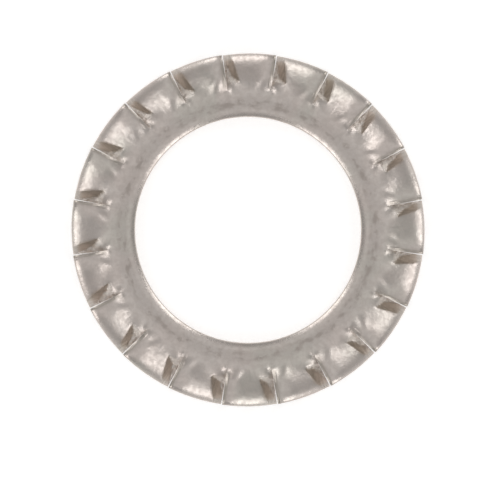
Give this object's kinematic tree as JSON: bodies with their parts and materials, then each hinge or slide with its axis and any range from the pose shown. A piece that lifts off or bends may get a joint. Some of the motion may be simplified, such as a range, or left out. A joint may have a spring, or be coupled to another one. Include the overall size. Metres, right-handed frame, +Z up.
{
  "type": "toothed lock washer",
  "caption": "Flat ring washer with twisted external teeth round its rim, which bite under a screw head or nut so that it cannot work loose.",
  "frame": {"origin": "on the axis of the bore, in the plane that the lowered teeth stand on", "axes": "+Z up along the axis of the bore, square to the ring; one tooth is centred on +X"},
  "size_m": [0.033, 0.033, 0.0027],
  "materials": {
    "steel": "dull bare stainless steel, rolled sheet, pressed and tumbled"
  },
  "bodies": {
    "root": {"lock_washer": "steel"}
  },
  "joints": []
}
